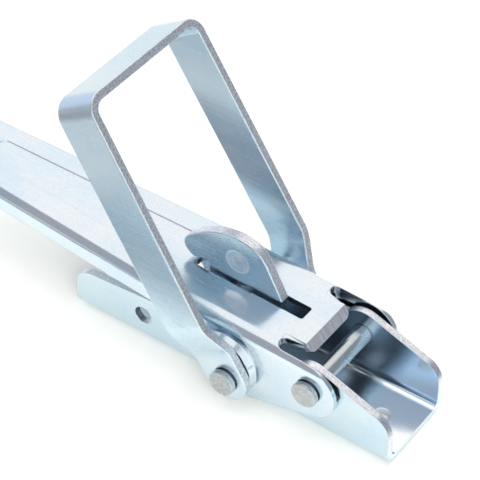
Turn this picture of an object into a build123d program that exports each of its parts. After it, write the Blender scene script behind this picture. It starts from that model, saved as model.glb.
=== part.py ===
from build123d import *
import os
from math import cos, radians, sin, tan

# Over-centre toggle latch with a swinging bail and a sprung safety catch, in zinc-plated steel.
# Frame: X runs along the base towards its open end, Y across it, Z up. The origin is on the
# underside of the base, on the centre plane, straight below the handle pivot. Millimetres.

# ---- driving dimensions -------------------------------------------------------------------
SHEET = 3.0                  # thickness of the base and handle sheet
BASE_WIDTH = 38.0            # outside width of the base channel
BASE_LEFT = -113.5
BASE_RIGHT = 34.8
BASE_BEND = 6.0              # outer radius between floor and walls
WALL_TALLEST = 34.0

PIVOT = (0.0, 22.4)          # handle pivot, as (x, z)
PIVOT_PIN_R = 4.0
HEAD_GAP = 0.7               # between the pivot and rivet heads and the sheet under them
HEAD_EDGE = 0.5              # rounding of those heads
HUMP_R = 10.5                # top of the base walls round the pivot
WALL_SLOPE = 20.0            # fall of the wall tops from the hump towards the open end, degrees

RIVET = (-33.2, 13.8)        # bail rivets, as (x, z)
RIVET_R = 4.0
FLANGE_R = 12.0              # handle flange round the pivot and round the rivets

STOP_PIN = (-63.2, 13.5)     # pin that the safety catch hooks under
LOCK_HOLE = (-79.8, 13.5)    # plain cross hole in both walls
CROSS_R = 4.0
SCREW_X = (19.8, -98.2)      # screw holes in the floor
SCREW_R = 3.3

SIDE_PLAY = 0.25             # base wall to handle flange
RUNNING = 0.08               # radial clearance of a hole that turns on a pin
HANDLE_HALF = BASE_WIDTH / 2 + SIDE_PLAY + SHEET
HANDLE_END = -196.0
TAPER_FROM = -72.0           # the grip narrows from here to its end
TAPER = 0.0487               # loss of half width per millimetre
WEB_AT_PIVOT = 35.8          # top of the handle web above the pivot
WEB_RISE = 0.0373            # rise of the web per millimetre towards the grip
GRIP_DEPTH = 10.6            # depth of the grip's side flanges
HANDLE_BEND = 5.0            # outer radius between web and flanges

EAR_CENTRE = (-37.5, 16.0)   # raised ears that carry the bail rivets
EAR_R = 14.4
EAR_RISE = 2.4

BAIL_ANGLE = 121.9           # bail direction at rest, from +X towards +Z
BAIL_REACH = 125.2           # rivet centre to the outside of the crossbar
BAIL_WIDTH = 19.4
BAIL_THICK = 3.7
BAIL_EDGE = 0.7              # rounding of the strip's long edges

CATCH_PIN = (-54.0, 29.2)
CATCH_PIN_R = 2.5
CATCH_THICK = 4.5
CATCH_EDGE = 0.6             # rounding of the fin's rims
COIN = (-46.4, 48.0)         # round dished mark on the side of the fin
COIN_DEPTH = 0.5
COIN_SPHERE = 30.0

WIRE_R = 0.6
COIL_R = CATCH_PIN_R + 0.2 + WIRE_R
COIL_START = CATCH_THICK / 2 + 1.6
COIL_PITCH = 1.6
COIL_TURNS = 5.25
LEG = 10.0                   # straight ends of the spring
SPRING_EYE = (CATCH_PIN[0] - COIL_R, CATCH_PIN[1] - LEG + 0.8)

EAR_FACE = HANDLE_HALF + EAR_RISE
EYE_INNER = EAR_FACE + 0.3
EYE_OUTER = EYE_INNER + BAIL_THICK


def web_top(x):
    """Height of the flat top of the handle at x."""
    return WEB_AT_PIVOT - WEB_RISE * x


def grip_half(x):
    """Outside half width of the handle at x."""
    return HANDLE_HALF - TAPER * max(0.0, TAPER_FROM - x)


def save(part, name):
    part.label = name
    export_step(part, f"parts/{name}.step")


os.makedirs("parts", exist_ok=True)


# ---- base channel -------------------------------------------------------------------------
# A U of sheet. Its walls rise in a hump round the pivot and fall to both ends.
slope = radians(WALL_SLOPE)
hump_tangent = (PIVOT[0] + HUMP_R * sin(slope), PIVOT[1] + HUMP_R * cos(slope))
corner_z = hump_tangent[1] - (BASE_RIGHT - hump_tangent[0]) * tan(slope)
left_top_z = 20.6
long_rise = 0.08             # rise of the long wall top towards the pivot
hump_foot_x = -8.3
hump_foot_z = left_top_z + (hump_foot_x - BASE_LEFT) * long_rise

with BuildPart() as base_channel:
    with BuildSketch(Plane.YZ.offset(BASE_LEFT)) as channel_outside:
        with Locations((0, WALL_TALLEST / 2)):
            Rectangle(BASE_WIDTH, WALL_TALLEST)
        fillet(channel_outside.vertices().group_by(Axis.Y)[0], radius=BASE_BEND)
    extrude(amount=BASE_RIGHT - BASE_LEFT)
    with BuildSketch(Plane.YZ.offset(BASE_LEFT)) as channel_inside:
        with Locations((0, SHEET + WALL_TALLEST / 2)):
            Rectangle(BASE_WIDTH - 2 * SHEET, WALL_TALLEST)
        fillet(channel_inside.vertices().group_by(Axis.Y)[0], radius=BASE_BEND - SHEET)
    extrude(amount=BASE_RIGHT - BASE_LEFT, mode=Mode.SUBTRACT)
    with BuildSketch(Plane.XZ) as wall_outline:
        with BuildLine():
            Polyline(
                (BASE_LEFT, 0),
                (BASE_RIGHT, 0),
                (BASE_RIGHT, corner_z),
                hump_tangent,
                PIVOT,
                (hump_foot_x, hump_foot_z),
                (BASE_LEFT, left_top_z),
                close=True,
            )
        make_face()
        for corner, radius in (
            ((BASE_LEFT, left_top_z), 9.0),
            ((BASE_LEFT, 0), 5.0),
            ((BASE_RIGHT, corner_z), 10.0),
            ((BASE_RIGHT, 0), 1.0),
        ):
            fillet(wall_outline.vertices().sort_by_distance(corner)[0], radius=radius)
        with Locations(PIVOT):
            Circle(HUMP_R)
    extrude(amount=BASE_WIDTH, both=True, mode=Mode.INTERSECT)
    with BuildSketch(Plane.XZ):
        with Locations(LOCK_HOLE, STOP_PIN):
            Circle(CROSS_R)
        with Locations(PIVOT):
            Circle(PIVOT_PIN_R)
    extrude(amount=BASE_WIDTH, both=True, mode=Mode.SUBTRACT)
    with BuildSketch(Plane.XY):
        with Locations(*[(x, 0) for x in SCREW_X]):
            Circle(SCREW_R)
    extrude(amount=BASE_BEND, mode=Mode.SUBTRACT)
    # the pivot holes are countersunk a little on the inside
    circles = base_channel.edges().filter_by(GeomType.CIRCLE)
    chamfer(circles.sort_by_distance((PIVOT[0], 0, PIVOT[1]))[:2], length=0.45)
save(base_channel.part, "base_channel")


# ---- pins ---------------------------------------------------------------------------------
def headed_pin(centre, shank_r, half_length, head_r, head_thick, edge):
    """A cross pin on Y with a rounded head outside each end of its shank."""
    with BuildPart() as pin:
        with BuildSketch(Plane.XZ):
            with Locations(centre):
                Circle(shank_r)
        extrude(amount=half_length + head_thick / 2, both=True)
        for side in (-1, 1):
            head_plane = Plane(
                origin=(centre[0], side * half_length, centre[1]),
                x_dir=(1, 0, 0),
                z_dir=(0, side, 0),
            )
            with BuildSketch(head_plane):
                Circle(head_r)
            extrude(amount=head_thick)
        outer_rims = pin.edges().filter_by(GeomType.CIRCLE).group_by(Axis.Y)
        fillet(outer_rims[0] + outer_rims[-1], radius=edge)
    return pin.part


save(headed_pin(PIVOT, PIVOT_PIN_R, HANDLE_HALF + HEAD_GAP, 5.5, 2.0, HEAD_EDGE), "pivot_pin")
save(headed_pin(CATCH_PIN, CATCH_PIN_R, HANDLE_HALF, 4.2, 1.5, 0.6), "catch_pivot_pin")

# The stop pin is peened flush with the outside of the base walls.
with BuildPart() as stop_pin:
    with BuildSketch(Plane.XZ):
        with Locations(STOP_PIN):
            Circle(CROSS_R)
    extrude(amount=BASE_WIDTH / 2, both=True)
    chamfer(stop_pin.edges().filter_by(GeomType.CIRCLE), length=0.4)
save(stop_pin.part, "catch_stop_pin")

# Each bail rivet has a small inner head in the hollow of its ear and a broad outer head.
INNER_HEAD = (BASE_WIDTH / 2 + 0.55, EAR_FACE - SHEET)
OUTER_HEAD = (EYE_OUTER + HEAD_GAP, EYE_OUTER + 2.9)
for side, name in ((-1, "bail_rivet_near"), (1, "bail_rivet_far")):
    with BuildPart() as rivet:
        for radius, span in (
            (5.6, INNER_HEAD),
            (RIVET_R, (INNER_HEAD[0], OUTER_HEAD[1] - 1)),
            (5.5, OUTER_HEAD),
        ):
            rivet_plane = Plane(
                origin=(RIVET[0], side * span[0], RIVET[1]),
                x_dir=(1, 0, 0),
                z_dir=(0, side, 0),
            )
            with BuildSketch(rivet_plane):
                Circle(radius)
            extrude(amount=span[1] - span[0])
        outer_face = Vector(RIVET[0], side * OUTER_HEAD[1], RIVET[1])
        fillet(rivet.faces().sort_by_distance(outer_face)[0].edges(), radius=HEAD_EDGE)
    save(rivet.part, name)


# ---- handle -------------------------------------------------------------------------------
# A pressed lever, open below. The web is the top, and its flanges drop to the pivot and the
# bail rivets. The grip narrows to a rounded end with the flange drawn round it.
GRIP_LOW_X = -64.7
EAR_LOW = (RIVET[0] - FLANGE_R * sin(radians(45)), RIVET[1] - FLANGE_R * cos(radians(45)))
NOTCH_X = -13.0              # centre of the round end of the relief notches
NOTCH_R = 3.0
TAB_ROOT_HALF = 14.3         # half width of the tab between the notches
TAB_HALF = 13.0              # half width of its lip
TAB_END = -6.95              # bend line between the tab and its lip
LIP_LENGTH = 4.9
LIP_LEAN = radians(35)       # lip, from the vertical
lip_out = (cos(LIP_LEAN), sin(LIP_LEAN))
tab_from = NOTCH_X - NOTCH_R
PANEL = (-171.0, -39.0)      # ends of the recessed panel
PANEL_MARGIN = 11.0          # from the outside of the flanges to the panel
PANEL_DEPTH = 0.5
SLOT = (-66.0, -15.5)        # ends of the catch slot
SLOT_HALF = 3.6

lip_root = (TAB_END, web_top(TAB_END))
lip_tip = (lip_root[0] + LIP_LENGTH * sin(LIP_LEAN), lip_root[1] - LIP_LENGTH * cos(LIP_LEAN))
lip_back = (lip_tip[0] - SHEET * lip_out[0], lip_tip[1] - SHEET * lip_out[1])
web_under = lip_root[1] - SHEET


def lever_plan(inset):
    """Plan outline of the lever, drawn inside its outer face by inset."""
    half = HANDLE_HALF - inset
    end = HANDLE_END + inset
    end_half = grip_half(HANDLE_END) - inset
    with BuildSketch(Plane.XY) as plan:
        with BuildLine():
            Polyline(
                (14, half), (TAPER_FROM, half), (end, end_half),
                (end, -end_half), (TAPER_FROM, -half), (14, -half),
                close=True,
            )
        make_face()
        fillet(plan.vertices().group_by(Axis.X)[0], radius=13.0 - inset)
        for y in (half, -half):
            fillet(plan.vertices().sort_by_distance((TAPER_FROM, y))[0], radius=150)
    return plan.sketch


with BuildPart() as lever_hollow:
    add(lever_plan(SHEET))
    extrude(amount=60)
    with BuildSketch(Plane.XZ):
        with BuildLine():
            Polyline(
                (14, web_top(14) - SHEET), (HANDLE_END, web_top(HANDLE_END) - SHEET),
                (HANDLE_END, -5), (14, -5),
                close=True,
            )
        make_face()
    extrude(amount=60, both=True, mode=Mode.INTERSECT)
    hollow_top = lever_hollow.faces().sort_by(Axis.Z)[-1]
    hollow_rim = hollow_top.edges() - hollow_top.edges().group_by(Axis.X)[-1]
    fillet(hollow_rim, radius=HANDLE_BEND - SHEET)
    for side in (-1, 1):
        pocket_plane = Plane(
            origin=(EAR_CENTRE[0], side * (HANDLE_HALF - SHEET), EAR_CENTRE[1]),
            x_dir=(1, 0, 0),
            z_dir=(0, side, 0),
        )
        with BuildSketch(pocket_plane):
            Circle(EAR_R)
        extrude(amount=EAR_RISE, taper=30)

with BuildPart() as handle_lever:
    add(lever_plan(0))
    extrude(amount=60)
    for side in (-1, 1):
        ear_plane = Plane(
            origin=(EAR_CENTRE[0], side * HANDLE_HALF, EAR_CENTRE[1]),
            x_dir=(1, 0, 0),
            z_dir=(0, side, 0),
        )
        with BuildSketch(ear_plane):
            Circle(EAR_R)
        extrude(amount=EAR_RISE, taper=30)
    with BuildSketch(Plane.XZ) as lever_side:
        with BuildLine():
            Polyline(
                (0, web_top(0)),
                (HANDLE_END, web_top(HANDLE_END)),
                (HANDLE_END, web_top(HANDLE_END) - GRIP_DEPTH),
                (GRIP_LOW_X, web_top(GRIP_LOW_X) - GRIP_DEPTH),
                EAR_LOW,
                RIVET,
                PIVOT,
                close=True,
            )
        make_face()
        grip_corner = (GRIP_LOW_X, web_top(GRIP_LOW_X) - GRIP_DEPTH)
        fillet(lever_side.vertices().sort_by_distance(grip_corner)[0], radius=12.0)
        with BuildSketch(mode=Mode.PRIVATE) as flange_ends:
            with Locations(PIVOT, RIVET):
                Circle(FLANGE_R)
            make_hull()
        add(flange_ends.sketch)
    extrude(amount=60, both=True, mode=Mode.INTERSECT)
    lever_top = handle_lever.faces().filter_by(
        lambda f: f.normal_at().Z > 0.99
    ).sort_by(SortBy.AREA)[-1]
    fillet(lever_top.edges() - lever_top.edges().group_by(Axis.X)[-1], radius=HANDLE_BEND)
    add(lever_hollow.part, mode=Mode.SUBTRACT)

    # the web stops in a tab with round relief notches beside it, and the flanges run on
    with BuildSketch(Plane.XY.offset(PIVOT[1])):
        for side in (-1, 1):
            notch_outside = side * (TAB_ROOT_HALF + 2 * NOTCH_R)
            with Locations((NOTCH_X, side * (TAB_ROOT_HALF + NOTCH_R))):
                Circle(NOTCH_R)
            with BuildLine():
                Polyline(
                    (NOTCH_X, notch_outside),
                    (NOTCH_X, side * TAB_ROOT_HALF),
                    (TAB_END, side * TAB_HALF),
                    (TAB_END, 0),
                    (20, 0),
                    (20, notch_outside),
                    close=True,
                )
            make_face()
    extrude(amount=30, mode=Mode.SUBTRACT)
    with BuildSketch(Plane.XZ):
        with BuildLine():
            Polyline(
                (tab_from, web_top(tab_from) + 2),
                (tab_from, web_top(tab_from) - 0.1),
                (0, PIVOT[1] + FLANGE_R),
                (20, PIVOT[1] + FLANGE_R),
                (20, web_top(NOTCH_X) + 2),
                close=True,
            )
        make_face()
    extrude(amount=60, both=True, mode=Mode.SUBTRACT)
    with BuildSketch(Plane.XZ):
        with BuildLine():
            Polyline(
                (tab_from, web_top(tab_from)),
                lip_root,
                lip_tip,
                lip_back,
                (lip_back[0] - (web_under - lip_back[1]) * tan(LIP_LEAN), web_under),
                (tab_from, web_top(tab_from) - SHEET),
                close=True,
            )
        make_face()
    extrude(amount=TAB_HALF, both=True)
    lip_top = handle_lever.edges().filter_by(Axis.Y).sort_by_distance(
        (TAB_END, 0, web_top(TAB_END))
    )[0]
    fillet(lip_top, radius=1.4)
    lip_corners = handle_lever.edges().filter_by(Axis((0, 0, 0), (lip_out[0], 0, lip_out[1])))
    fillet(lip_corners.sort_by_distance((lip_tip[0], 0, lip_tip[1]))[:2], radius=3.0)

    # a shallow recessed panel along the grip, pressed right through the sheet
    for face_offset, mode in ((-SHEET, Mode.ADD), (0, Mode.SUBTRACT)):
        panel_plane = Plane(
            origin=(0, 0, WEB_AT_PIVOT + face_offset),
            x_dir=(1, 0, -WEB_RISE),
            z_dir=(WEB_RISE, 0, 1),
        )
        with BuildSketch(panel_plane) as panel:
            with BuildLine():
                Polyline(
                    (PANEL[0], PANEL_MARGIN - grip_half(PANEL[0])),
                    (PANEL[1], PANEL_MARGIN - HANDLE_HALF),
                    (PANEL[1], HANDLE_HALF - PANEL_MARGIN),
                    (PANEL[0], grip_half(PANEL[0]) - PANEL_MARGIN),
                    close=True,
                )
            make_face()
            fillet(panel.vertices(), radius=4.0)
        extrude(amount=-PANEL_DEPTH, taper=30, mode=mode)

    # slot for the safety catch, and the pin holes
    with BuildSketch(Plane.XY.offset(WEB_AT_PIVOT - 10)) as slot:
        with Locations(((SLOT[0] + SLOT[1]) / 2, 0)):
            Rectangle(SLOT[1] - SLOT[0], 2 * SLOT_HALF)
        fillet(slot.vertices().group_by(Axis.X)[0], radius=2.5)
        fillet(slot.vertices().group_by(Axis.X)[-1], radius=1.0)
    extrude(amount=20, mode=Mode.SUBTRACT)
    with BuildSketch(Plane.XZ):
        with Locations(PIVOT):
            Circle(PIVOT_PIN_R + RUNNING)
        with Locations(RIVET):
            Circle(RIVET_R)
        with Locations(CATCH_PIN):
            Circle(CATCH_PIN_R)
    extrude(amount=60, both=True, mode=Mode.SUBTRACT)
save(handle_lever.part, "handle_lever")


# ---- bail ---------------------------------------------------------------------------------
# One flat strip bent into a loop. Its eyes lie on the ears and turn on the rivets. Its legs
# joggle outwards above the eyes and then lean in a little towards the crossbar.
bail_dir = (cos(radians(BAIL_ANGLE)), 0, sin(radians(BAIL_ANGLE)))
bail_normal = (bail_dir[2], 0, -bail_dir[0])
eye_mid = (EYE_INNER + EYE_OUTER) / 2
JOGGLE_FROM = 12.0           # reach where the strip leaves the flat of the eye
LEG_LOW = (33.3, 26.0)       # centre of the leg above the joggle, as (half width, reach)
LEG_HIGH = (31.3, BAIL_REACH - BAIL_THICK / 2)

with BuildPart() as bail_loop:
    bail_plane = Plane(
        origin=(RIVET[0], 0, RIVET[1]),
        x_dir=(0, 1, 0),
        z_dir=bail_normal,
    )
    with BuildSketch(bail_plane) as strip_edge:
        with BuildLine():
            FilletPolyline(
                (-eye_mid, -BAIL_WIDTH / 2),
                (-eye_mid, JOGGLE_FROM),
                (-LEG_LOW[0], LEG_LOW[1]),
                (-LEG_HIGH[0], LEG_HIGH[1]),
                LEG_HIGH,
                LEG_LOW,
                (eye_mid, JOGGLE_FROM),
                (eye_mid, -BAIL_WIDTH / 2),
                radius=[12, 12, 6, 6, 12, 12],
            )
            offset(amount=BAIL_THICK / 2, side=Side.BOTH)
        make_face()
    extrude(amount=BAIL_WIDTH / 2, both=True)
    # round the eyes about the rivets and drill them
    eye_plane = Plane(origin=(RIVET[0], 0, RIVET[1]), x_dir=bail_dir, z_dir=(0, -1, 0))
    with BuildSketch(eye_plane):
        Circle(BAIL_WIDTH / 2)
        with Locations((BAIL_REACH / 2, 0)):
            Rectangle(BAIL_REACH, BAIL_WIDTH)
    extrude(amount=60, both=True, mode=Mode.INTERSECT)
    fillet(bail_loop.edges(), radius=BAIL_EDGE)
    with BuildSketch(Plane.XZ):
        with Locations(RIVET):
            Circle(RIVET_R + RUNNING)
    extrude(amount=60, both=True, mode=Mode.SUBTRACT)
save(bail_loop.part, "bail_loop")


# ---- safety catch -------------------------------------------------------------------------
# A thick plate on the centre plane. Its fin stands out of the slot, and its arm hangs inside
# the channel with a short hook beside the stop pin.
FIN_TIP = (-25.6, 38.2)
FIN_TOP = (-45.0, 59.6)
LOBE_TOP = (-67.5, 51.2)
LOBE_LOW = (-68.0, 39.8)
HOOK_TIP_X = STOP_PIN[0] + CROSS_R + 2.0

with BuildPart() as safety_catch:
    with BuildSketch(Plane.XZ) as catch_side:
        with BuildLine():
            Spline(FIN_TIP, (-31.0, 49.0), (-36.2, 56.6), FIN_TOP, (-56.0, 58.0), LOBE_TOP,
                   tangents=((-0.45, 1), (-1, -0.8)))
            Spline(LOBE_TOP, (-71.9, 44.6), LOBE_LOW, tangents=((-1, -0.8), (1, -0.5)))
            Spline(LOBE_LOW, (-61.0, 41.0), (-55.0, 39.8), (-50.0, 38.4),
                   tangents=((1, 0.1), (1, -0.45)))
            Line((-50.0, 38.4), (-44.0, 37.0))
            Line((-44.0, 37.0), (-39.5, 38.9))
            Line((-39.5, 38.9), (-33.0, 37.2))
            Line((-33.0, 37.2), FIN_TIP)
        make_face()
        with BuildLine():
            Polyline(
                (-59.5, 42),
                (CATCH_PIN[0] - 5.5, CATCH_PIN[1]),
                (CATCH_PIN[0] - 1.0, 11),
                (HOOK_TIP_X, 9.5),
                (HOOK_TIP_X, 6.5),
                (-47.5, 6.5),
                (CATCH_PIN[0] + 5.5, CATCH_PIN[1]),
                (-45.0, 42),
                close=True,
            )
        make_face()
        with Locations(CATCH_PIN):
            Circle(5.5)
        with Locations(CATCH_PIN):
            Circle(CATCH_PIN_R + RUNNING, mode=Mode.SUBTRACT)
        with Locations(SPRING_EYE):
            Circle(WIRE_R + 0.3, mode=Mode.SUBTRACT)
    extrude(amount=CATCH_THICK / 2, both=True)
    fin_rims = safety_catch.edges().filter_by(lambda e: (e @ 0.5).Z > 42)
    fillet(fin_rims.filter_by(Axis.Y, reverse=True), radius=CATCH_EDGE)
    with Locations((COIN[0], -CATCH_THICK / 2 + COIN_DEPTH - COIN_SPHERE, COIN[1])):
        Sphere(COIN_SPHERE, mode=Mode.SUBTRACT)
save(safety_catch.part, "safety_catch")

# A sleeve and a torsion spring fill the pin on the two sides of the catch.
WEB_HALF_INSIDE = HANDLE_HALF - SHEET
with BuildPart() as catch_sleeve:
    sleeve_start = Plane.XZ.offset(CATCH_THICK / 2 + 0.3)
    with BuildSketch(sleeve_start):
        with Locations(CATCH_PIN):
            Circle(3.4)
            Circle(CATCH_PIN_R, mode=Mode.SUBTRACT)
    extrude(amount=WEB_HALF_INSIDE - CATCH_THICK / 2 - 0.3)
save(catch_sleeve.part, "catch_sleeve")

# The spring's far leg bears under the web, and its near leg ends in a hole in the catch.
with BuildPart() as catch_spring:
    with BuildLine() as coil_path:
        Helix(
            COIL_PITCH,
            COIL_PITCH * COIL_TURNS,
            COIL_R,
            center=(CATCH_PIN[0], COIL_START + COIL_PITCH * COIL_TURNS, CATCH_PIN[1]),
            direction=(0, -1, 0),
        )
    coil = coil_path.line
    with BuildSketch(Plane(origin=coil @ 0, z_dir=coil % 0)):
        Circle(WIRE_R)
    sweep(path=coil, is_frenet=True)
    for end, outward in ((0, -1), (1, 1)):
        tangent = (coil % end) * outward
        leg_plane = Plane(origin=coil @ end, z_dir=tangent)
        with BuildSketch(leg_plane):
            Circle(WIRE_R)
        extrude(amount=LEG)
    with BuildSketch(Plane.XZ.offset(-COIL_START - WIRE_R)):
        with Locations((CATCH_PIN[0] + COIL_R, 2 * CATCH_PIN[1] - SPRING_EYE[1])):
            Circle(WIRE_R)
    extrude(amount=COIL_START + WIRE_R)
pin_axis = Axis((CATCH_PIN[0], 0, CATCH_PIN[1]), (0, 1, 0))
save(catch_spring.part.rotate(pin_axis, 180), "catch_spring")
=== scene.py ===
import math

import bpy
from mathutils import Matrix, Vector

# Looks of an over-centre toggle latch in bright zinc plate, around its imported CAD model. Metres.

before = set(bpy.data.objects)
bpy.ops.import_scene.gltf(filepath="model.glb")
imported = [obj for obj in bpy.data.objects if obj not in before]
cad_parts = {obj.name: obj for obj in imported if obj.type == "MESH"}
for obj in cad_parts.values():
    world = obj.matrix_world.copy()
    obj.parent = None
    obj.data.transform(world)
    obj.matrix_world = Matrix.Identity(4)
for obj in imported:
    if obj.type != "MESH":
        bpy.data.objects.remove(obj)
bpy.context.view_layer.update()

MM = 0.001
ALONG = (1.0, 0.0, 0.0)     # the length of the latch, towards the strike
ACROSS = (0.0, 1.0, 0.0)    # its width, away from the camera
UP = (0.0, 0.0, 1.0)
BAIL_ANGLE = 121.9          # degrees, the bail's direction at rest, as in the CAD model
COIN_CENTRE = (-46.4 * MM, -2.1 * MM, 48.0 * MM)
FLOOR_HALF = 3.0


# ---- small helpers for node trees ---------------------------------------------------------
class Tree:
    """The node tree of a material or world, with short calls for the nodes used below."""

    def __init__(self, owner):
        owner.use_nodes = True
        self.nodes = owner.node_tree.nodes
        self.links = owner.node_tree.links
        self.nodes.clear()

    def put(self, socket, value):
        if isinstance(value, bpy.types.NodeSocket):
            self.links.new(value, socket)
        else:
            socket.default_value = value

    def node(self, kind, settings=None, **inputs):
        made = self.nodes.new(kind)
        for key, value in (settings or {}).items():
            setattr(made, key, value)
        for key, value in inputs.items():
            self.put(made.inputs[key.replace("_", " ")], value)
        return made

    def math(self, operation, first, second=0.0):
        made = self.nodes.new("ShaderNodeMath")
        made.operation = operation
        self.put(made.inputs[0], first)
        self.put(made.inputs[1], second)
        return made.outputs[0]

    def ramp(self, value, low, high, to_low=0.0, to_high=1.0):
        made = self.nodes.new("ShaderNodeMapRange")
        made.interpolation_type = "SMOOTHSTEP"
        for key, amount in zip(range(5), (value, low, high, to_low, to_high)):
            self.put(made.inputs[key], amount)
        return made.outputs[0]

    def mix(self, factor, first, second):
        made = self.nodes.new("ShaderNodeMix")
        made.data_type = "RGBA"
        self.put(made.inputs["Factor"], factor)
        self.put(made.inputs["A"], first)
        self.put(made.inputs["B"], second)
        return made.outputs["Result"]

    def dot(self, vector, direction):
        made = self.nodes.new("ShaderNodeVectorMath")
        made.operation = "DOT_PRODUCT"
        self.put(made.inputs[0], vector)
        self.put(made.inputs[1], direction)
        return made.outputs["Value"]

    def either_way(self, vector, direction):
        """How far a vector reaches along a direction or against it."""
        return self.math("ABSOLUTE", self.dot(vector, direction))

    def stretch(self, vector, turn, scale):
        made = self.nodes.new("ShaderNodeMapping")
        self.put(made.inputs["Vector"], vector)
        made.inputs["Rotation"].default_value = turn
        made.inputs["Scale"].default_value = scale
        return made.outputs["Vector"]

    def noise(self, vector, scale, detail=3.0, roughness=0.5, distortion=0.0):
        made = self.node(
            "ShaderNodeTexNoise",
            Vector=vector, Scale=scale, Detail=detail, Roughness=roughness, Distortion=distortion,
        )
        return made.outputs["Fac"]

    def finish(self, shader, kind="ShaderNodeOutputMaterial"):
        self.links.new(shader, self.nodes.new(kind).inputs["Surface"])


def rgb(red, green, blue):
    return (red, green, blue, 1.0)


# ---- zinc plate ---------------------------------------------------------------------------
def zinc(
    name,
    grain_turn=(0, 0, 0),
    tint=rgb(0.665, 0.78, 0.825),
    rough=0.17,
    cut=None,
    stain_and_painted_shade=None,
    bevel=0.5,
):
    """Bright zinc plate with rolling streaks, cloudy passivation, fine crystals, and edges
    brightened partly as wear and partly as a painted highlight.

    The streaks run along X after grain_turn. cut names a function that gives the mask of
    the sheared edges, which are duller and greyer than the rolled faces. stain_and_painted_shade
    names one that gives a mask, a colour and an added roughness for another patch: a real mark on
    some parts, painted shade and a painted highlight on others. bevel is the width of the
    brightened edges, partly worn and partly painted highlight, in millimetres.
    """
    material = bpy.data.materials.new(name)
    tree = Tree(material)
    place = tree.node("ShaderNodeTexCoord")
    point = place.outputs["Object"]
    facing = place.outputs["Normal"]

    # colour: slow bluish and warm clouds, streaks, fine crystals and a fine mottle
    clouds = tree.noise(point, 32.0, detail=4.0, roughness=0.55, distortion=0.6)
    warm = tree.noise(point, 75.0, detail=2.0)
    grain = tree.stretch(point, grain_turn, (14.0, 900.0, 900.0))
    streaks = tree.noise(grain, 1.0, detail=5.0, roughness=0.65)
    fine_grain = tree.stretch(point, grain_turn, (60.0, 3800.0, 3800.0))
    fine_streaks = tree.noise(fine_grain, 1.0, detail=3.0, roughness=0.6)
    crystals = tree.node(
        "ShaderNodeTexVoronoi", Vector=point, Scale=2600.0, Randomness=1.0
    ).outputs["Distance"]

    cool = tuple(c * k for c, k in zip(tint[:3], (0.86, 0.95, 1.02))) + (1.0,)
    colour = tree.mix(tree.ramp(clouds, 0.35, 0.68), tint, cool)
    colour = tree.mix(tree.ramp(warm, 0.60, 0.80, 0.0, 0.30), colour, rgb(0.84, 0.83, 0.80))
    broad = tree.noise(tree.stretch(point, grain_turn, (7.0, 210.0, 210.0)), 1.0, detail=3.0)
    colour = tree.mix(tree.ramp(broad, 0.46, 0.70, 0.0, 0.20), colour, rgb(0.56, 0.71, 0.80))
    colour = tree.mix(tree.ramp(streaks, 0.30, 0.72, 0.0, 0.12), colour, rgb(0.93, 0.95, 0.96))
    colour = tree.mix(tree.ramp(crystals, 0.15, 0.75, 0.0, 0.14), colour, rgb(0.50, 0.60, 0.68))
    mottle = tree.noise(point, 1300.0, detail=2.0, roughness=0.6)
    colour = tree.mix(tree.ramp(mottle, 0.48, 0.66, 0.0, 0.20), colour, rgb(0.48, 0.56, 0.62))
    colour = tree.mix(tree.ramp(fine_streaks, 0.40, 0.75, 0.0, 0.10), colour, rgb(0.55, 0.62, 0.68))

    roughness = tree.ramp(streaks, 0.25, 0.75, rough * 0.93, rough * 1.12)
    roughness = tree.math("ADD", roughness, tree.ramp(clouds, 0.3, 0.7, -0.015, 0.025))

    # scratches: thin, sparse, in two crossing directions
    scratches = None
    for turn, scale in ((0.5, 240.0), (-1.1, 190.0)):
        run = (turn, turn * 0.7, grain_turn[2] + turn)
        lines = tree.stretch(point, run, (scale * 0.04, scale * 6, scale * 6))
        line = tree.ramp(tree.noise(lines, 1.0, detail=1.0), 0.735, 0.765)
        scratches = line if scratches is None else tree.math("MAXIMUM", scratches, line)
    patches = tree.ramp(tree.noise(point, 140.0, detail=1.0), 0.48, 0.60)
    scratches = tree.math("MULTIPLY", scratches, patches)

    # edges: where the rounded normal leaves the true one, the plate is brightened, partly as rubbed
    # wear and partly as a painted highlight along every edge
    rounded = tree.node("ShaderNodeBevel", {"samples": 6}, Radius=bevel * MM).outputs["Normal"]
    true_normal = tree.node("ShaderNodeNewGeometry").outputs["Normal"]
    edge = tree.ramp(tree.dot(rounded, true_normal), 0.995, 0.86)
    edge_wear_and_highlight = tree.math("MULTIPLY", edge, tree.ramp(clouds, 0.3, 0.6, 0.5, 1.0))
    colour = tree.mix(tree.math("MULTIPLY", edge_wear_and_highlight, 0.45), colour, rgb(0.93, 0.94, 0.95))
    colour = tree.mix(tree.math("MULTIPLY", scratches, 0.35), colour, rgb(0.62, 0.66, 0.70))

    # relief of the rolled faces
    height = tree.math("MULTIPLY", fine_streaks, 0.5)
    height = tree.math("ADD", height, tree.math("MULTIPLY", crystals, 0.35))

    # sheared edges: grey, coarse and rougher
    if cut:
        mask = cut(tree, point, facing)
        torn = tree.noise(point, 1500.0, detail=4.0, roughness=0.75)
        grey = tree.mix(tree.ramp(torn, 0.40, 0.60), rgb(0.47, 0.49, 0.53), rgb(0.91, 0.94, 0.97))
        colour = tree.mix(tree.math("MULTIPLY", mask, 0.8), colour, grey)
        roughness = tree.math("ADD", roughness, tree.math("MULTIPLY", mask, 0.14))
        tears = tree.math("MULTIPLY", mask, torn)
        height = tree.math("ADD", height, tree.math("MULTIPLY", tears, 2.2))
    # another patch from the given function: real marks on some parts, painted shade and a painted
    # highlight on others
    if stain_and_painted_shade:
        mask, shade, added = stain_and_painted_shade(tree, point, facing)
        colour = tree.mix(mask, colour, shade)
        roughness = tree.math("ADD", roughness, tree.math("MULTIPLY", mask, added))
    roughness = tree.math("ADD", roughness, tree.math("MULTIPLY", scratches, 0.12))
    height = tree.math("SUBTRACT", height, tree.math("MULTIPLY", scratches, 0.8))

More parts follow.
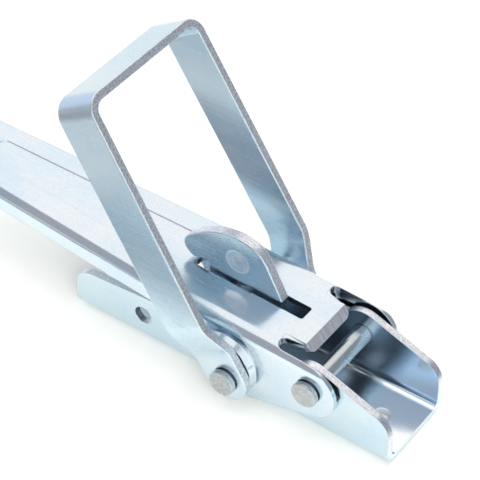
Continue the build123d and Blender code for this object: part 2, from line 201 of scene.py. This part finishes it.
    bump = tree.node(
        "ShaderNodeBump", Strength=0.22, Distance=0.02 * MM, Height=height, Normal=rounded
    ).outputs["Normal"]
    shader = tree.node(
        "ShaderNodeBsdfPrincipled",
        Base_Color=colour, Metallic=1.0, Roughness=roughness, Normal=bump,
    )
    shader.inputs["Anisotropic"].default_value = 0.25
    tree.finish(shader.outputs["BSDF"])
    return material


def dress(node, material):
    """Gives a CAD node its material."""
    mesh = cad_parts[node].data
    for index in range(len(mesh.materials)):
        mesh.materials[index] = material
    if not mesh.materials:
        mesh.materials.append(material)


# ---- masks of the sheared edges -----------------------------------------------------------
BAIL_TURN = math.radians(BAIL_ANGLE)
STRIP_ACROSS = (math.sin(BAIL_TURN), 0.0, -math.cos(BAIL_TURN))


def bail_cut(tree, point, facing):
    """The long edges of the bail's strip."""
    return tree.ramp(tree.either_way(facing, STRIP_ACROSS), 0.6, 0.9)


def catch_cut(tree, point, facing):
    """The rim of the catch's plate, all round its two faces."""
    return tree.ramp(tree.either_way(facing, ACROSS), 0.7, 0.4)


def wall_rim(tree, point, facing):
    """Wall tops and ends of a channel: outside the inner faces, above the bend."""
    side = tree.either_way(point, ACROSS)
    outside = tree.ramp(side, 15.7 * MM, 15.9 * MM)
    above = tree.ramp(tree.dot(point, UP), 5.5 * MM, 7.0 * MM)
    flat = tree.ramp(tree.either_way(facing, ACROSS), 0.7, 0.4)
    return tree.math("MULTIPLY", tree.math("MULTIPLY", outside, above), flat)


def lever_rim(tree, point, facing):
    """Lower rims of the handle's flanges."""
    down = tree.ramp(tree.dot(facing, (0.0, 0.0, -1.0)), 0.2, 0.6)
    side = tree.either_way(point, ACROSS)
    return tree.math("MULTIPLY", down, tree.ramp(side, 12.0 * MM, 13.0 * MM))


# ---- patches of another colour, among them painted shade and a painted highlight ----------
def coin_mark_and_highlight(tree, point, facing):
    """The pale dull disc pressed into the side of the catch, with a painted highlight whitening its
    outer ring.
    """
    offset = tree.nodes.new("ShaderNodeVectorMath")
    offset.operation = "DISTANCE"
    tree.put(offset.inputs[0], point)
    offset.inputs[1].default_value = COIN_CENTRE
    reach = offset.outputs["Value"]
    marked_side = tree.ramp(tree.dot(facing, (0.0, -1.0, 0.0)), 0.2, 0.6)
    disc = tree.math("MULTIPLY", tree.ramp(reach, 5.7 * MM, 5.3 * MM), marked_side)
    # painted highlight: the outer ring of the disc is whitened all round
    rim = tree.ramp(reach, 4.3 * MM, 5.0 * MM)
    pits = tree.noise(point, 700.0, detail=3.0, roughness=0.6)
    field = tree.mix(tree.ramp(pits, 0.4, 0.62), rgb(0.74, 0.84, 0.92), rgb(0.98, 0.98, 1.0))
    return disc, tree.mix(rim, field, rgb(1.0, 1.0, 1.0)), 0.08


def channel_painted_shade(tree, point, facing):
    """Painted light and shade inside the base channel: dark blue up the inner walls, pale on its
    floor.
    """
    side = tree.either_way(point, ACROSS)
    inside = tree.ramp(side, 16.4 * MM, 16.1 * MM)
    above = tree.ramp(tree.dot(point, UP), 2.0 * MM, 2.8 * MM)
    level = tree.ramp(tree.dot(point, UP), 3.2 * MM, 6.0 * MM)
    # painted shade and light: blue on the inner walls, pale on the channel's floor
    shade = tree.mix(level, rgb(0.90, 0.97, 1.0), rgb(0.58, 0.74, 0.90))
    return tree.math("MULTIPLY", inside, above), shade, 0.0


def lip_face(tree, point, facing):
    """The brushed grey face of the lever's lip."""
    forward = tree.ramp(tree.dot(point, ALONG), -7.2 * MM, -6.6 * MM)
    side = tree.either_way(point, ACROSS)
    middle = tree.ramp(side, 15.0 * MM, 14.0 * MM)
    high = tree.ramp(tree.dot(point, UP), 25.0 * MM, 27.0 * MM)
    mask = tree.math("MULTIPLY", tree.math("MULTIPLY", forward, middle), high)
    marks = tree.noise(tree.stretch(point, (0, 0, 0), (90.0, 2600.0, 90.0)), 1.0, detail=3.0)
    shade = tree.mix(tree.ramp(marks, 0.35, 0.65), rgb(0.72, 0.73, 0.77), rgb(0.92, 0.92, 0.95))
    return mask, shade, 0.05


def pin_face(tree, point, facing):
    """The dull hammered faces of the pin heads, outside the handle's flanges."""
    side = tree.either_way(point, ACROSS)
    outside = tree.ramp(side, 22.6 * MM, 23.0 * MM)
    flat = tree.ramp(tree.either_way(facing, ACROSS), 0.6, 0.95)
    pits = tree.noise(point, 1100.0, detail=3.0, roughness=0.7, distortion=0.8)
    shade = tree.mix(tree.ramp(pits, 0.35, 0.66), rgb(0.54, 0.55, 0.56), rgb(0.34, 0.37, 0.38))
    return tree.math("MULTIPLY", outside, flat), shade, 0.06


# ---- materials of the pieces --------------------------------------------------------------
# the base carries painted light and shade on the inside of its channel
sheet_base = zinc("zinc_base", cut=wall_rim, stain_and_painted_shade=channel_painted_shade)
sheet_lever = zinc("zinc_lever", tint=rgb(0.69, 0.785, 0.85), cut=lever_rim, stain_and_painted_shade=lip_face)
strip = zinc(
    "zinc_strip",
    grain_turn=(0, BAIL_TURN, 0),
    tint=rgb(0.65, 0.765, 0.82),
    rough=0.24,
    cut=bail_cut,
)
plate = zinc(
    "zinc_plate",
    grain_turn=(0, 0.4, 0),
    tint=rgb(0.61, 0.765, 0.86),
    rough=0.26,
    cut=catch_cut,
    stain_and_painted_shade=coin_mark_and_highlight,
)
peened = zinc("zinc_peened", tint=rgb(0.62, 0.645, 0.67), rough=0.24, stain_and_painted_shade=pin_face, bevel=0.3)
pivot_steel = zinc("zinc_pivot", tint=rgb(0.53, 0.57, 0.565), rough=0.24, stain_and_painted_shade=pin_face, bevel=0.3)
rod = zinc("zinc_rod", tint=rgb(0.66, 0.765, 0.83), rough=0.20, bevel=0.3)
bare_steel = zinc("bare_steel", tint=rgb(0.56, 0.53, 0.48), rough=0.38, bevel=0.3)
wire = zinc("spring_wire", tint=rgb(0.62, 0.64, 0.66), rough=0.3, bevel=0.1)

dress("base_channel", sheet_base)
dress("handle_lever", sheet_lever)
dress("bail_loop", strip)
dress("safety_catch", plate)
for rivet in ("bail_rivet_near", "bail_rivet_far"):
    dress(rivet, peened)
for piece in ("catch_pivot_pin", "catch_sleeve"):
    dress(piece, rod)
dress("pivot_pin", pivot_steel)
dress("catch_stop_pin", bare_steel)
dress("catch_spring", wire)


# ---- floor, lights and camera -------------------------------------------------------------
def square(name, half):
    """A flat square with its own material, not yet staged, and the tree of that material."""
    mesh = bpy.data.meshes.new(name)
    corners = [(-half, -half, 0), (half, -half, 0), (half, half, 0), (-half, half, 0)]
    mesh.from_pydata(corners, [], [(0, 1, 2, 3)])
    sheet = bpy.data.objects.new(name, mesh)
    bpy.context.collection.objects.link(sheet)
    material = bpy.data.materials.new(name)
    mesh.materials.append(material)
    return sheet, Tree(material)


def floor():
    plane, tree = square("floor", FLOOR_HALF)
    shader = tree.node(
        "ShaderNodeBsdfPrincipled", Base_Color=rgb(0.93, 0.95, 0.91), Roughness=0.8
    )
    tree.finish(shader.outputs["BSDF"])


def softbox(name, place, target, width, height, watts):
    """A rectangular lamp that lights the floor and leaves no reflection."""
    light = bpy.data.lights.new(name, "AREA")
    light.shape = "RECTANGLE"
    light.size = width
    light.size_y = height
    light.energy = watts
    holder = bpy.data.objects.new(name, light)
    holder.location = place
    holder.rotation_euler = (Vector(target) - Vector(place)).to_track_quat("-Z", "Y").to_euler()
    holder.visible_glossy = False
    bpy.context.collection.objects.link(holder)


def card(name, low, high, colour, soft, height=0.0006):
    """A card that lies on the floor, fades out at its rim, and shows only as a reflection."""
    centre = [(a + b) / 2 for a, b in zip(low, high)]
    half = [(b - a) / 2 for a, b in zip(low, high)]
    board, tree = square(name, 1)
    board.location = (*centre, height)
    board.scale = (*half, 1)
    place = tree.node("ShaderNodeTexCoord").outputs["Object"]
    solid = tree.math(
        "MULTIPLY",
        tree.ramp(tree.either_way(place, ALONG), 1.0, 1.0 - soft / half[0]),
        tree.ramp(tree.either_way(place, ACROSS), 1.0, 1.0 - soft / half[1]),
    )
    blend = tree.nodes.new("ShaderNodeMixShader")
    tree.put(blend.inputs[0], solid)
    tree.links.new(tree.node("ShaderNodeBsdfTransparent").outputs[0], blend.inputs[1])
    tree.links.new(tree.node("ShaderNodeEmission", Color=colour).outputs[0], blend.inputs[2])
    tree.finish(blend.outputs[0])
    board.visible_camera = False
    board.visible_diffuse = False
    board.visible_shadow = False


def sky():
    """Light by direction: white overhead, pale blue behind, a bright key at the front right."""
    world = bpy.data.worlds.new("studio")
    bpy.context.scene.world = world
    tree = Tree(world)
    direction = tree.node("ShaderNodeTexCoord").outputs["Generated"]
    overhead = tree.ramp(tree.dot(direction, (-0.10, 0.44, 0.89)), 0.50, 0.56)
    not_right = tree.ramp(tree.dot(direction, (-1.0, 0.0, 0.0)), -0.42, -0.22)
    overhead = tree.math("MULTIPLY", overhead, not_right)
    behind = tree.ramp(tree.dot(direction, (-0.80, 0.60, 0.0)), 0.45, 0.70)
    key = tree.ramp(tree.dot(direction, (0.68, -0.72, 0.12)), 0.62, 0.85)
    front_left = tree.ramp(tree.dot(direction, (-0.55, -0.75, 0.35)), 0.2, 0.8)
    colour = tree.mix(front_left, rgb(0.38, 0.40, 0.45), rgb(0.48, 0.46, 0.50))
    colour = tree.mix(behind, colour, rgb(0.82, 0.87, 1.04))
    colour = tree.mix(key, colour, rgb(1.15, 1.15, 1.15))
    colour = tree.mix(overhead, colour, rgb(1.25, 1.17, 1.13))
    background = tree.node("ShaderNodeBackground", Color=colour, Strength=1.0)
    tree.finish(background.outputs[0], "ShaderNodeOutputWorld")


def camera():
    """The viewpoint: a long lens from the front right, looking down on the latch."""
    azimuth, elevation, roll = (math.radians(a) for a in (35.49, 42.82, 0.31))
    distance = 0.7861
    target = Vector((-0.04685, 0.0, 0.05741))
    back = Vector((
        math.sin(azimuth) * math.cos(elevation),
        -math.cos(azimuth) * math.cos(elevation),
        math.sin(elevation),
    ))
    right = Vector((math.cos(azimuth), math.sin(azimuth), 0))
    up = back.cross(right)
    rolled_right = right * math.cos(roll) + up * math.sin(roll)
    rolled_up = up * math.cos(roll) - right * math.sin(roll)
    turn = Matrix((rolled_right, rolled_up, back)).transposed().to_4x4()
    lens = bpy.data.cameras.new("camera")
    lens.lens = 156.26
    lens.clip_start = 0.01
    holder = bpy.data.objects.new("camera", lens)
    holder.matrix_world = Matrix.Translation(target + back * distance) @ turn
    bpy.context.collection.objects.link(holder)
    bpy.context.scene.camera = holder


floor()
sky()
card("card_right", (0.055, -0.10), (1.2, 1.0), rgb(0.40, 0.42, 0.47), 0.03)
card("card_front", (-0.165, -0.122), (-0.052, -0.066), rgb(0.33, 0.42, 0.51), 0.018)
card("card_mid", (-0.34, -0.115), (-0.135, -0.058), rgb(0.46, 0.50, 0.55), 0.01, height=0.0004)
card("card_left", (-0.32, -0.18), (-0.10, -0.108), rgb(0.76, 0.78, 0.81), 0.02, height=0.0003)
card("card_far", (-1.6, -2.0), (0.1, -0.16), rgb(0.44, 0.43, 0.47), 0.04)
softbox("top", (-0.25, 0.25, 1.0), (-0.08, 0, 0), 1.2, 1.2, 4.2)
softbox("front", (0.45, -0.75, 0.55), (-0.06, -0.05, 0), 0.9, 0.7, 8.2)
camera()
bpy.context.scene.view_settings.view_transform = "Standard"
